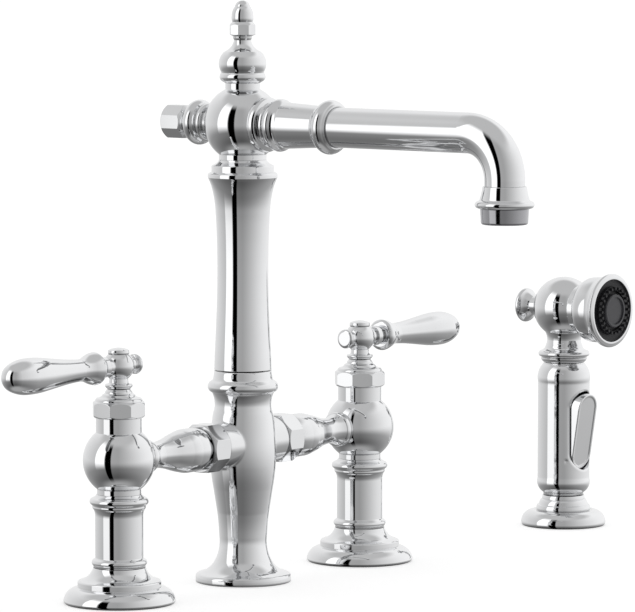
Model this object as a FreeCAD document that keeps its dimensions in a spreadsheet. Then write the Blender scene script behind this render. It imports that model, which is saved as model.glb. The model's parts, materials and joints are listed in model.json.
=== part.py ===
import FreeCAD, Part
import math
import os
import Sketcher

# Bridge kitchen faucet: two lever valves on a deck, a bridge that joins them to a centre post,
# a swivelling spout on the post and a separate side spray in its holder. Millimetres.
# Origin: on the deck, under the centre post. +X runs along the bridge to the right valve and
# the spray, the spout points to -Y at rest, +Z is up.

doc = FreeCAD.newDocument("BridgeKitchenFaucet")
sheet = doc.addObject("Spreadsheet::Sheet", "Sizes")
nodes = []
rows_used = []

DIRECTIONS = {
    "+X": FreeCAD.Vector(1, 0, 0),
    "-X": FreeCAD.Vector(-1, 0, 0),
    "+Y": FreeCAD.Vector(0, 1, 0),
    "-Y": FreeCAD.Vector(0, -1, 0),
    "+Z": FreeCAD.Vector(0, 0, 1),
    "-Z": FreeCAD.Vector(0, 0, -1),
}


class Size:
    """A value in millimetres together with the sheet expression that gives it."""

    def __init__(self, text, value):
        self.text = text
        self.value = value

    def __add__(self, other):
        other = as_size(other)
        if self.text == "0":
            return other
        return Size(f"({self.text} + {other.text})", self.value + other.value)

    def __sub__(self, other):
        other = as_size(other)
        return Size(f"({self.text} - {other.text})", self.value - other.value)

    def __mul__(self, factor):
        return Size(f"({self.text} * {factor})", self.value * factor)

    def __neg__(self):
        return self * -1


ZERO = Size("0", 0.0)


def as_size(value):
    """Return the value as a Size, so that plain numbers can stand beside cells."""
    if isinstance(value, Size):
        return value
    return Size(str(value), value)


def size(name, value):
    """Write one driving size to the sheet and return it."""
    rows_used.append(name)
    row = len(rows_used)
    sheet.set(f"A{row}", name)
    sheet.set(f"B{row}", str(value))
    sheet.setAlias(f"B{row}", name)
    return Size(f"Sizes.{name}", value)


def named(name, value):
    """Return a Size as it is, and give a plain number a cell of its own."""
    if isinstance(value, Size):
        return value
    return size(name, value)


CAP = "cap"


def cap_bow(radius, rise):
    """Return the bow of the ball cap that closes a piece of this radius over this rise."""
    ball_text = f"(({radius.text}^2 + {rise.text}^2) / (2 * {rise.text}))"
    chord_text = f"(({radius.text}^2 + {rise.text}^2) / 4)"
    ball_value = (radius.value ** 2 + rise.value ** 2) / (2 * rise.value)
    chord_value = (radius.value ** 2 + rise.value ** 2) / 4
    text = f"({ball_text} - sqrt({ball_text}^2 - {chord_text}))"
    return Size(text, ball_value - math.sqrt(ball_value ** 2 - chord_value))


class Profile:
    """The half section of a turned piece, from its foot (height 0) up.

    stations: (name, rise from the station below, radius, bow of the stretch that leads to it).
    A bow above 0 swells out, below 0 it hollows in, and it is left out for a straight stretch.
    CAP closes the piece on its axis with part of a ball.
    bore: (name, radius, length) from the foot up. The last length is None, and radius 0 is solid.
    total: the piece's full height, which the one station with rise None makes up.
    """

    def __init__(self, prefix, stations, bore=(), total=None):
        self.outer = []
        rises = self.rises(prefix, stations, total)
        height = ZERO
        for station, rise in zip(stations, rises):
            name, _, radius = station[:3]
            bow = station[3] if len(station) > 3 else 0
            height = height + rise
            if isinstance(radius, Size) or radius > 0:
                radius = named(f"{prefix}_{name}_radius", radius)
            if bow == CAP:
                bow = cap_bow(self.outer[-1][0], rise)
            elif bow != 0:
                bow = size(f"{prefix}_{name}_bow", bow)
            self.outer.append((as_size(radius), height, bow))
        self.height = height
        self.inner = self.bore_path(prefix, bore or (("axis", 0, None),))

    def rises(self, prefix, stations, total):
        """Return the rise to each station."""
        rises = []
        for station in stations:
            name, rise = station[:2]
            if rise is None or (not isinstance(rise, Size) and rise == 0):
                rises.append(ZERO if rise == 0 else None)
            else:
                rises.append(named(f"{prefix}_{name}_rise", rise))
        if None in rises:
            rest = total
            for rise in rises:
                if rise is not None and rise is not ZERO:
                    rest = rest - rise
            rises[rises.index(None)] = rest
        return rises

    def bore_path(self, prefix, bore):
        """List the corners of the bore from the top down."""
        steps = []
        level = ZERO
        for name, radius, length in bore:
            if isinstance(radius, Size) or radius > 0:
                radius = named(f"{prefix}_{name}_bore", radius)
            top = self.height if length is None else level + named(f"{prefix}_{name}_length", length)
            steps.append((as_size(radius), level, top))
            level = top
        corners = []
        for radius, low, high in reversed(steps):
            corners.append((radius, high, 0))
            corners.append((radius, low, 0))
        return corners

    def corners(self):
        """Return the closed outline, without corners that lie on each other."""
        outline = []
        for corner in self.outer + self.inner:
            if outline and same_place(outline[-1], corner):
                continue
            outline.append(corner)
        if same_place(outline[0], outline[-1]):
            outline.pop()
        return outline


def same_place(one, other):
    """Tell whether two corners lie on each other."""
    return math.hypot(one[0].value - other[0].value, one[1].value - other[1].value) < 1e-6


def origin_feature(body, role):
    """Return one of the body's own origin planes or axes."""
    for feature in body.Origin.OriginFeatures:
        if feature.Role == role:
            return feature
    raise ValueError(role)


def new_sketch(body, name, role, offset=None):
    """Attach a new sketch to one of the body's origin planes, moved along its normal."""
    sketch = body.newObject("Sketcher::SketchObject", f"{body.Name}_{name}")
    sketch.AttachmentSupport = [(origin_feature(body, role), "")]
    sketch.MapMode = "FlatFace"
    if offset is not None:
        sketch.AttachmentOffset = FreeCAD.Placement(FreeCAD.Vector(0, 0, offset.value), FreeCAD.Rotation())
        sketch.setExpression("AttachmentOffset.Base.z", offset.text)
    return sketch


def arc_between(start, end, bow):
    """Return the arc from start to end that swells to the right of the way by bow."""
    chord = end - start
    half = chord.Length / 2
    radius = (half ** 2 + bow ** 2) / (2 * abs(bow))
    left = FreeCAD.Vector(-chord.y, chord.x, 0).normalize()
    inward = radius - abs(bow)
    side = 1 if bow > 0 else -1
    centre = (start + end) * 0.5 + left * (inward * side)
    first, last = (start, end) if bow > 0 else (end, start)
    start_angle = math.atan2(first.y - centre.y, first.x - centre.x)
    end_angle = math.atan2(last.y - centre.y, last.x - centre.x)
    circle = Part.Circle(centre, FreeCAD.Vector(0, 0, 1), radius)
    return Part.ArcOfCircle(circle, start_angle, end_angle)


def bind(sketch, constraint, text):
    """Add a constraint whose value follows an expression."""
    index = sketch.addConstraint(constraint)
    sketch.setExpression(f"Constraints[{index}]", text)


def pin_point(sketch, geometry, position, x, y):
    """Hold one end point at its distances from the sketch's origin."""
    if x.value == 0:
        sketch.addConstraint(Sketcher.Constraint("PointOnObject", geometry, position, -2))
    else:
        bind(sketch, Sketcher.Constraint("DistanceX", -1, 1, geometry, position, x.value), x.text)
    if y.value == 0:
        sketch.addConstraint(Sketcher.Constraint("PointOnObject", geometry, position, -1))
    else:
        bind(sketch, Sketcher.Constraint("DistanceY", -1, 1, geometry, position, y.value), y.text)


def draw_outline(sketch, corners):
    """Draw a closed outline of lines and arcs with every corner and bow held by a size."""
    count = len(corners)
    points = [FreeCAD.Vector(x.value, y.value, 0) for x, y, _ in corners]
    starts = []
    for index in range(count):
        following = (index + 1) % count
        bow = corners[following][2]
        if bow == 0:
            sketch.addGeometry(Part.LineSegment(points[index], points[following]))
            starts.append(1)
        else:
            sketch.addGeometry(arc_between(points[index], points[following], bow.value))
            starts.append(1 if bow.value > 0 else 2)
    for index in range(count):
        following = (index + 1) % count
        end = 3 - starts[index]
        sketch.addConstraint(Sketcher.Constraint("Coincident", index, end, following, starts[following]))
        pin_point(sketch, index, starts[index], corners[index][0], corners[index][1])
    for index in range(count):
        x1, y1, _ = corners[index]
        x2, y2, bow = corners[(index + 1) % count]
        if bow != 0:
            chord = f"((({x2.text} - {x1.text})^2 + ({y2.text} - {y1.text})^2) / 4)"
            text = f"({chord} + {bow.text}^2) / (2 * abs({bow.text}))"
            radius = sketch.Geometry[index].Radius
            bind(sketch, Sketcher.Constraint("Radius", index, radius), text)


def new_body(label, at=(0, 0, 0), axis="+Z"):
    """Start a body whose own +Z points along axis and whose origin follows the sizes in at."""
    body = doc.addObject("PartDesign::Body", f"{label}_body")
    body.Label = label
    place(body, at, FreeCAD.Rotation(DIRECTIONS["+Z"], DIRECTIONS[axis]))
    return body


def place(item, at, rotation):
    """Put an object at the sizes in at."""
    where = [as_size(value) for value in at]
    base = FreeCAD.Vector(*[value.value for value in where])
    item.Placement = FreeCAD.Placement(base, rotation)
    for letter, value in zip("xyz", where):
        if value.text != "0":
            item.setExpression(f"Placement.Base.{letter}", value.text)


def turned(label, profile, at=(0, 0, 0), axis="+Z"):
    """Turn a profile about the piece's own axis."""
    body = new_body(label, at, axis)
    sketch = new_sketch(body, "profile", "XZ_Plane")
    draw_outline(sketch, profile.corners())
    revolution = body.newObject("PartDesign::Revolution", f"{body.Name}_revolution")
    revolution.Profile = sketch
    revolution.ReferenceAxis = (sketch, ["V_Axis"])
    revolution.Angle = 360
    nodes.append(body)
    return body


def primitive(body, kind, name, sizes, at, direction):
    """Add or cut a primitive that points along one of the body's own directions."""
    feature = body.newObject(f"PartDesign::{kind}", f"{body.Name}_{name}")
    for key, value in sizes.items():
        value = as_size(value)
        setattr(feature, key, value.value)
        feature.setExpression(key, value.text)
    place(feature, at, FreeCAD.Rotation(DIRECTIONS["+Z"], DIRECTIONS[direction]))
    return feature


def boss(body, name, radius, length, at, direction):
    """Add a round boss."""
    return primitive(body, "AdditiveCylinder", name, {"Radius": radius, "Height": length}, at, direction)


def drill(body, name, radius, length, at, direction):
    """Drill a round hole."""
    return primitive(body, "SubtractiveCylinder", name, {"Radius": radius, "Height": length}, at, direction)


def ball(body, radius, height):
    """Add a ball on the piece's axis."""
    return primitive(body, "AdditiveSphere", "ball", {"Radius": radius}, (0, 0, height), "+Z")


def trim_foot(body, radius, height):
    """Face off the part of a ball, if any, that reaches below the piece's foot."""
    below = radius - height
    if below.value > 0:
        drill(body, "foot_trim", radius, below, (0, 0, -below), "+Z")


def ball_seat(body, radius, height):
    """Hollow the end of a piece so that it sits against a ball."""
    return primitive(body, "SubtractiveSphere", "ball_seat", {"Radius": radius}, (0, 0, height), "+Z")


def draw_rectangle(sketch, left, right, low, high):
    """Draw a rectangle between two sizes each way."""
    draw_outline(sketch, [(left, low, 0), (right, low, 0), (right, high, 0), (left, high, 0)])


def mill_flats(body, across, corner_radius, start, length, count):
    """Mill even flats round a turned blank, across apart, between two heights."""
    sketch = new_sketch(body, "flat", "XY_Plane", start)
    draw_rectangle(sketch, across * 0.5, corner_radius + cut_excess, -corner_radius, corner_radius)
    pocket = body.newObject("PartDesign::Pocket", f"{body.Name}_flat_cut")
    pocket.Profile = sketch
    pocket.Length = length.value
    pocket.setExpression("Length", length.text)
    pocket.Reversed = True
    pattern = body.newObject("PartDesign::PolarPattern", f"{body.Name}_flats")
    pattern.Originals = [pocket]
    pattern.Axis = (origin_feature(body, "Z_Axis"), [""])
    pattern.Angle = 360
    pattern.Occurrences = count
    body.Tip = pattern


def pill(sketch, half_width, low, high):
    """Draw an upright outline with round ends, its middle on the sketch's upright axis."""
    bow = half_width - end_flatness
    shoulder_low = low + bow
    shoulder_high = high - bow
    corners = [
        (half_width, shoulder_low, bow),
        (half_width, shoulder_high, 0),
        (-half_width, shoulder_high, bow),
        (-half_width, shoulder_low, 0),
    ]
    draw_outline(sketch, corners)


def group(label, bodies):
    """Join equal separate solids into one node."""
    compound = doc.addObject("Part::Compound", f"{label}_group")
    compound.Label = label
    compound.Links = bodies
    for body in bodies:
        nodes.remove(body)
    nodes.append(compound)


# Shared sizes

valve_spacing = size("valve_spacing", 203.2)
spray_offset = size("spray_offset", 295.3)
bridge_height = size("bridge_height", 75.5)
running_gap = size("running_gap", 0.05)
swivel_gap = size("swivel_gap", 0.3)
seam_gap = size("seam_gap", 0.6)
fit_gap = size("fit_gap", 0.1)
cut_excess = size("cut_excess", 1.0)
shank_thread_radius = size("shank_thread_radius", 9.3)
gasket_thickness = size("gasket_thickness", 2.0)
nut_sides = 8
valve_x = valve_spacing * 0.5

# Each side: its name, the sign of its X, the way out along the bridge and the way in
SIDES = (("left", -1, "-X", "+X"), ("right", 1, "+X", "-X"))


# Centre post

socket_radius = size("socket_radius", 11.0)
socket_floor = size("socket_floor", 83.0)
post_shank_length = size("post_shank_length", 22.0)
post_waterway_radius = size("post_waterway_radius", 8.5)
post_boss_radius = size("post_boss_radius", 12.4)
post_boss_reach = size("post_boss_reach", 25.0)
union_spigot_radius = size("union_spigot_radius", 10.0)
union_spigot_length = size("union_spigot_length", 5.0)
bridge_bore_radius = size("bridge_bore_radius", 6.0)
post_gasket_radius = size("post_gasket_radius", 21.0)
post_gasket_bore = size("post_gasket_bore", 11.5)

POST = Profile(
    "post",
    (
        ("rim_foot", 0, 25.9),
        ("rim_top", 2.9, 25.9),
        ("rim_edge", 1.7, 24.4, 0.45),
        ("flare", 6.7, 15.45, -1.3),
        ("waist", 13.1, 13.0, -1.0),
        ("thigh", 13.2, 14.1, -0.15),
        ("swell", 13.1, 16.15),
        ("crown", 41.5, 16.2, 1.9),
        ("neck", 4.6, 15.4, -0.25),
        ("bead_foot", 6.4, 16.9, -0.35),
        ("bead_top", 6.4, 16.9, 2.3),
        ("skirt_foot", 2.2, 16.0, -0.2),
        ("skirt_top", 3.2, 15.6),
    ),
    (
        ("gasket", post_gasket_radius + fit_gap, gasket_thickness),
        ("shank", shank_thread_radius, post_shank_length - gasket_thickness),
        ("waterway", post_waterway_radius, socket_floor - post_shank_length),
        ("socket", socket_radius, None),
    ),
)


diverter_radius = socket_radius - fit_gap
poppet_clearance = size("poppet_clearance", 0.3)
DIVERTER_CAGE = Profile(
    "diverter_cage",
    (("foot", 0, diverter_radius), ("top", 8.4, diverter_radius)),
    (("seat", 5.5, 2.0), ("guide", 8.2, None)),
)
DIVERTER_POPPET = Profile(
    "diverter_poppet",
    (("stem_foot", 0, 5.1), ("stem_top", 2.0, 5.1), ("disc_foot", 0, 7.7), ("disc_top", 2.0, 7.7)),
)


def make_post():
    """Vase-shaped post with a threaded boss on each side for the bridge arms."""
    body = turned("post_body", POST)
    across = (0, 0, bridge_height)
    spigot_reach = post_boss_reach + union_spigot_length
    for side, _, outward, _ in SIDES:
        boss(body, f"{side}_boss", post_boss_radius, post_boss_reach, across, outward)
        boss(body, f"{side}_spigot", union_spigot_radius, spigot_reach, across, outward)
    core_length = socket_floor - post_shank_length
    drill(body, "core", post_waterway_radius, core_length, (0, 0, post_shank_length), "+Z")
    drill(body, "socket", socket_radius, POST.height - socket_floor, (0, 0, socket_floor), "+Z")
    collar_length = gasket_thickness + cut_excess
    boss(body, "shank_collar", post_gasket_bore - fit_gap, collar_length, (0, 0, 0), "+Z")
    drill(body, "shank", shank_thread_radius, post_shank_length, (0, 0, 0), "+Z")
    for side, _, outward, _ in SIDES:
        drill(body, f"{side}_bore", bridge_bore_radius, spigot_reach + cut_excess, across, outward)


def ring(label, radius, hole, thickness, at, axis="+Z"):
    """Flat ring, such as a gasket or a washer."""
    profile = Profile(label, (("foot", 0, radius), ("top", thickness, radius)), (("hole", hole, None),))
    return turned(label, profile, at, axis)


def make_diverter():
    """Cage in the post's socket and the poppet that sends water to the side spray."""
    turned("diverter_cage", DIVERTER_CAGE, (0, 0, socket_floor))
    turned("diverter_poppet", DIVERTER_POPPET, (0, 0, socket_floor + poppet_clearance))


# Bridge arms

union_washer_thickness = size("union_washer_thickness", 1.6)
arm_flange_thickness = size("arm_flange_thickness", 2.4)
arm_tail_radius = size("arm_tail_radius", 8.1)
union_lip_thickness = size("union_lip_thickness", 3.3)
union_across_flats = size("union_across_flats", 25.5)
union_corner_radius = size("union_corner_radius", 13.8)
union_bevel = size("union_bevel", 1.2)
valve_ball_radius = size("valve_ball_radius", 19.1)
arm_spigot_radius = size("arm_spigot_radius", 6.0)
arm_spigot_length = size("arm_spigot_length", 14.0)
arm_spigot_setback = size("arm_spigot_setback", 10.5)
arm_waterway_radius = size("arm_waterway_radius", 4.5)

washer_start = post_boss_reach + union_spigot_length
arm_start = washer_start + union_washer_thickness
nut_cavity = union_spigot_length + union_washer_thickness + arm_flange_thickness
arm_to_valve = valve_x - arm_start

UNION_NUT = Profile(
    "union_nut",
    (
        ("foot", 0, union_corner_radius - union_bevel),
        ("low_bevel", union_bevel, union_corner_radius),
        ("high_bevel", None, union_corner_radius),
        ("top", union_bevel, union_corner_radius - union_bevel),
    ),
    (
        ("thread", union_spigot_radius + fit_gap, nut_cavity),
        ("lip", arm_tail_radius + fit_gap, None),
    ),
    nut_cavity + union_lip_thickness,
)

ARM = Profile(
    "arm",
    (
        ("flange_foot", 0, union_spigot_radius),
        ("flange_top", arm_flange_thickness, union_spigot_radius),
        ("tail_foot", 0, arm_tail_radius),
        ("tail_top", union_lip_thickness + fit_gap, arm_tail_radius),
        ("bulb_foot", 0, 10.9),
        ("bulb", 9.2, 11.8, 0.35),
        ("bulb_slope", 6.5, 11.15, 0.3),
        ("cone", 7.6, 9.3, 0.1),
        ("neck", 10.5, 7.1, -0.3),
        ("flare", 8.2, 8.7, -0.5),
        ("ring_foot", 0.3, 9.2),
        ("ring_top", 3.4, 9.3, 0.3),
        ("root_foot", 0, 8.9),
        ("root_top", 4.0, 8.9),
    ),
)


def make_bridge_arm(side, sign, outward):
    """One arm of the bridge with its union nut."""
    nut = turned(f"{side}_union_nut", UNION_NUT, (post_boss_reach * sign, 0, bridge_height), outward)
    mill_flats(nut, union_across_flats, union_corner_radius, ZERO, UNION_NUT.height, nut_sides)
    arm = turned(f"{side}_bridge_arm", ARM, (arm_start * sign, 0, bridge_height), outward)
    ball_seat(arm, valve_ball_radius, arm_to_valve)
    spigot_foot = arm_to_valve - arm_spigot_setback - arm_spigot_length
    boss(arm, "spigot", arm_spigot_radius, arm_spigot_length, (0, 0, spigot_foot), "+Z")
    drill(arm, "waterway", arm_waterway_radius, arm_to_valve, (0, 0, 0), "+Z")


def make_union_washers():
    """Flat washer inside each union nut."""
    pieces = []
    thickness = union_washer_thickness
    for side, sign, outward, _ in SIDES:
        at = (washer_start * sign, 0, bridge_height)
        pieces.append(ring(f"{side}_washer", union_spigot_radius, bridge_bore_radius, thickness, at, outward))
    group("union_washers", pieces)


# Valves

flange_gasket_radius = size("flange_gasket_radius", 24.0)
flange_gasket_bore = size("flange_gasket_bore", 13.0)
column_tail_radius = size("column_tail_radius", 12.3)
column_tail_start = size("column_tail_start", 0.6)
column_shank_length = size("column_shank_length", 16.0)
valve_waterway_radius = size("valve_waterway_radius", 7.0)
valve_throat = size("valve_throat", 17.9)
valve_neck_radius = size("valve_neck_radius", 12.14)
cartridge_radius = size("cartridge_radius", 8.9)
cartridge_seat = size("cartridge_seat", 6.4)
seat_washer_thickness = size("seat_washer_thickness", 1.8)
seat_washer_bore = size("seat_washer_bore", 5.0)
cartridge_window_radius = size("cartridge_window_radius", 4.5)
cartridge_head_height = size("cartridge_head_height", 4.5)
cartridge_inlet_depth = size("cartridge_inlet_depth", 6.0)
stem_radius = size("stem_radius", 3.8)
stem_clearance = size("stem_clearance", 0.3)
stem_reach = size("stem_reach", 8.0)
stem_press = size("stem_press", 0.02)
bonnet_across_flats = size("bonnet_across_flats", 26.9)
bonnet_corner_radius = size("bonnet_corner_radius", 14.55)
bonnet_flats_height = size("bonnet_flats_height", 8.4)
bonnet_spigot_radius = size("bonnet_spigot_radius", 10.4)
bonnet_spigot_length = size("bonnet_spigot_length", 6.0)

FLANGE = Profile(
    "flange",
    (
        ("foot", 0, 29.0),
        ("rim", 1.5, 29.6, 0.15),
        ("dome", 6.7, 22.9, 1.6),
        ("step_foot", 0.3, 22.1),
        ("step_top", 2.7, 22.1),
        ("step_edge", 0.8, 21.0, 0.2),
        ("flare", 6.8, 13.9, -1.4),
    ),
    (
        ("gasket", flange_gasket_radius + fit_gap, gasket_thickness),
        ("tail", column_tail_radius + fit_gap, None),
    ),
)
column_height = bridge_height - column_tail_start - valve_throat
COLUMN = Profile(
    "column",
    (
        ("tail_foot", 0, column_tail_radius),
        ("tail_top", FLANGE.height + fit_gap - column_tail_start, column_tail_radius),
        ("ring_foot", 0, 13.6),
        ("ring_low", 1.2, 14.0),
        ("ring_top", 3.0, 13.8, 0.8),
        ("shaft_foot", 0.9, 12.75, -0.1),
        ("shaft_top", None, 12.75),
        ("flare", 3.6, 13.5, -0.2),
        ("low_ring_top", 1.8, 14.2, 0.3),
        ("high_ring_foot", 0.6, 14.3),
        ("high_ring_top", 3.6, 14.6, 1.2),
        ("neck", 2.0, 11.9, -0.3),
    ),
    (("shank", shank_thread_radius, column_shank_length), ("waterway", valve_waterway_radius, None)),
    column_height,
)
VALVE_BODY = Profile(
    "valve_body",
    (
        ("foot", 0, 11.7),
        ("throat", 5.0, 11.7),
        ("core", 24.0, valve_neck_radius),
        ("top", 11.7, valve_neck_radius),
    ),
)
CARTRIDGE = Profile(
    "cartridge",
    (
        ("foot", 0, cartridge_radius),
        ("body_top", VALVE_BODY.height - cartridge_seat - seat_washer_thickness, cartridge_radius),
        ("head_foot", 0, 7.5),
        ("head_top", cartridge_head_height, 7.5),
    ),
    (("inlet", 3.2, cartridge_inlet_depth), ("stem", stem_radius + running_gap, None)),
)
BONNET = Profile(
    "bonnet",
    (
        ("spigot_foot", 0, bonnet_spigot_radius),
        ("spigot_top", bonnet_spigot_length, bonnet_spigot_radius),
        ("foot", 0, 13.0),
        ("bevel", 1.3, bonnet_corner_radius),
        ("flats_top", 4.9, bonnet_corner_radius),
        ("crown", 2.2, 13.2, 0.3),
        ("step_foot", 0.2, 12.6),
        ("step_top", 1.6, 11.6, 0.25),
        ("ogee", 1.8, 8.6, -0.5),
        ("collar_foot", 0.7, 7.3),
        ("collar_top", 1.6, 6.6, 0.2),
        ("rim", 0.6, 6.2),
    ),
    (
        ("cavity", cartridge_radius + fit_gap, bonnet_spigot_length + cartridge_head_height + swivel_gap),
        ("stem", stem_radius + running_gap, None),
    ),
)

valve_body_foot = column_tail_start + column_height
bonnet_foot = valve_body_foot + VALVE_BODY.height - bonnet_spigot_length
cartridge_foot = valve_body_foot + cartridge_seat + seat_washer_thickness
stem_foot = cartridge_foot + cartridge_inlet_depth + stem_clearance
hub_foot = bonnet_foot + BONNET.height + swivel_gap
stem_length = hub_foot + stem_reach - stem_foot


def make_valve(side, sign, outward, inward):
    """One deck valve: flange, column, ball body, cartridge and bonnet nut."""
    x = valve_x * sign
    turned(f"{side}_flange", FLANGE, (x, 0, 0))
    turned(f"{side}_column", COLUMN, (x, 0, column_tail_start))
    body = turned(f"{side}_valve_body", VALVE_BODY, (x, 0, valve_body_foot))
    ball(body, valve_ball_radius, valve_throat)
    trim_foot(body, valve_ball_radius, valve_throat)
    drill(body, "inlet", valve_waterway_radius, VALVE_BODY.height, (0, 0, 0), "+Z")
    chamber_length = VALVE_BODY.height - cartridge_seat
    drill(body, "chamber", cartridge_radius + fit_gap, chamber_length, (0, 0, cartridge_seat), "+Z")
    outlet_radius = arm_spigot_radius + fit_gap
    drill(body, "outlet", outlet_radius, valve_ball_radius + cut_excess, (0, 0, valve_throat), inward)
    mouth_at = (0, 0, VALVE_BODY.height - bonnet_spigot_length)
    drill(body, "mouth", bonnet_spigot_radius + fit_gap, bonnet_spigot_length, mouth_at, "+Z")
    cartridge = turned(f"{side}_cartridge", CARTRIDGE, (x, 0, cartridge_foot))
    window_at = (0, 0, valve_body_foot + valve_throat - cartridge_foot)
    drill(cartridge, "window", cartridge_window_radius, cartridge_radius + cut_excess, window_at, inward)
    bonnet = turned(f"{side}_bonnet_nut", BONNET, (x, 0, bonnet_foot))
    flats = (bonnet_across_flats, bonnet_corner_radius, bonnet_spigot_length, bonnet_flats_height)
    mill_flats(bonnet, *flats, nut_sides)


def make_valve_rings():
    """Rubber seat washers under the cartridges and gaskets under the flanges."""
    washers = []
    gaskets = []
    for side, sign, _, _ in SIDES:
        x = valve_x * sign
        seat_at = (x, 0, valve_body_foot + cartridge_seat)
        washers.append(
            ring(f"{side}_seat", cartridge_radius, seat_washer_bore, seat_washer_thickness, seat_at)
        )
        gaskets.append(
            ring(f"{side}_gasket", flange_gasket_radius, flange_gasket_bore, gasket_thickness, (x, 0, 0))
        )
    group("seat_washers", washers)
    group("valve_gaskets", gaskets)


# Lever handles

hub_ball_radius = size("hub_ball_radius", 8.3)
lever_height = size("lever_height", 11.9)
hub_stub_start = size("hub_stub_start", 6.0)
hub_stub_radius = size("hub_stub_radius", 4.2)
hub_stub_end = size("hub_stub_end", 23.3)
hub_ring_start = size("hub_ring_start", 11.2)
hub_ring_length = size("hub_ring_length", 3.2)
hub_ring_radius = size("hub_ring_radius", 5.4)
handle_screw_radius = size("handle_screw_radius", 2.0)
handle_screw_depth = size("handle_screw_depth", 5.5)
lever_start = size("lever_start", 17.5)
knob_pin_radius = size("knob_pin_radius", 2.0)
knob_pin_start = size("knob_pin_start", 4.6)
knob_start = size("knob_start", 6.2)
knob_pin_length = size("knob_pin_length", 6.0)
hub_web = size("hub_web", 4.0)

HUB = Profile(
    "hub",
    (
        ("foot", 0, 6.2),
        ("disc_foot", 0.8, 7.0),
        ("disc_top", 1.5, 7.0, 0.35),
        ("neck_foot", 0.8, 5.2, -0.3),
        ("neck_top", 2.2, 5.0),
        ("crown", 12.8, 5.5, 3.0),
    ),
    (
        ("stem", stem_radius + stem_press, stem_reach),
        ("screw", handle_screw_radius + fit_gap, hub_web),
        ("head", 3.6, None),
    ),
)
HUB_CAP = Profile(
    "hub_cap",
    (("foot", 0, 5.3), ("rim", 0.8, 5.7, 0.1), ("rim_top", 1.3, 5.6), ("crown", 1.3, 0, CAP)),
)
HUB_KNOB = Profile(
    "hub_knob",
    (
        ("neck_foot", 0, 3.7),
        ("neck_top", 4.4, 3.7),
        ("disc_foot", 0.9, 5.0, -0.3),
        ("disc_top", 2.0, 5.1, 0.3),
        ("face", 0.6, 3.8, 0.1),
    ),
)
LEVER = Profile(
    "lever",
    (
        ("face", 0, 6.6),
        ("rim", 2.2, 8.7, 0.6),
        ("bell", 5.2, 7.2, 0.2),
        ("waist", 6.6, 5.85, -0.35),
        ("swell", 14.5, 7.1, -0.15),
        ("belly", 13.5, 8.85),
        ("fullest", 11.5, 9.5, 0.2),
        ("end", 11.4, 7.17, 0.65),
        ("tip", 4.6, 0, CAP),
    ),
    (("socket", hub_stub_radius + fit_gap, 6.0), ("solid", 0, None)),
)
SCREW = Profile(
    "handle_screw",
    (
        ("foot", 0, handle_screw_radius),
        ("shank_top", handle_screw_depth + hub_web, handle_screw_radius),
        ("head_foot", 0, 3.4),
        ("head_top", 2.2, 3.4),
    ),
)


def make_handle(side, sign, outward, inward):
    """One lever handle with its stem, hub, cap, knob and screw."""
    x = valve_x * sign
    stem = rod(f"{side}_stem", stem_radius, stem_length, (x, 0, stem_foot))
    tap_length = handle_screw_depth + fit_gap
    tap_at = (0, 0, stem_length - tap_length)
    drill(stem, "tap", handle_screw_radius + running_gap, tap_length, tap_at, "+Z")
    hub = turned(f"{side}_hub", HUB, (x, 0, hub_foot))
    stub_at = (hub_stub_start * sign, 0, lever_height)
    boss(hub, "stub", hub_stub_radius, hub_stub_end - hub_stub_start, stub_at, outward)
    boss(hub, "ring", hub_ring_radius, hub_ring_length, (hub_ring_start * sign, 0, lever_height), outward)
    pin_hole_at = (-(hub_ball_radius + cut_excess) * sign, 0, lever_height)
    pin_hole_length = hub_ball_radius + cut_excess - knob_pin_start
    drill(hub, "pin_hole", knob_pin_radius + fit_gap, pin_hole_length, pin_hole_at, outward)
    turned(f"{side}_hub_cap", HUB_CAP, (x, 0, hub_foot + HUB.height))
    lever_z = hub_foot + lever_height
    knob = turned(f"{side}_hub_knob", HUB_KNOB, (x - knob_start * sign, 0, lever_z), inward)
    ball_seat(knob, hub_ball_radius + fit_gap, -knob_start)
    boss(knob, "pin", knob_pin_radius, knob_pin_length, (0, 0, knob_pin_start - knob_start), "+Z")
    turned(f"{side}_lever", LEVER, (x + lever_start * sign, 0, lever_z), outward)
    turned(f"{side}_handle_screw", SCREW, (x, 0, hub_foot + stem_reach - handle_screw_depth))


def rod(label, radius, length, at):
    """Plain round rod."""
    profile = Profile(label, (("foot", 0, radius), ("top", length, radius)))
    return turned(label, profile, at)


# Swivelling spout

spigot_radius = socket_radius - running_gap
spigot_groove_radius = size("spigot_groove_radius", 9.2)
spigot_bore_radius = size("spigot_bore_radius", 7.0)
seal_width = size("seal_width", 1.9)
groove_width = size("groove_width", 2.0)
seal_spacing = size("seal_spacing", 6.0)
spigot_drop = size("spigot_drop", 21.0)
spigot_rise = size("spigot_rise", 16.0)
first_groove_height = size("first_groove_height", 4.0)
spout_neck_radius = size("spout_neck_radius", 12.95)
tee_axis_height = size("tee_axis_height", 19.3)
tee_ball_radius = size("tee_ball_radius", 20.9)
tee_bore_radius = size("tee_bore_radius", 8.0)
collar_spigot_radius = size("collar_spigot_radius", 8.4)
spout_bore_radius = size("spout_bore_radius", 7.0)
rear_spigot_radius = size("rear_spigot_radius", 5.0)
rear_bore_radius = size("rear_bore_radius", 3.0)
stud_radius = size("stud_radius", 2.5)
stud_depth = size("stud_depth", 9.0)
finial_collar_height = size("finial_collar_height", 1.0)
tee_top_bore = size("tee_top_bore", 10.0)

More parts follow.
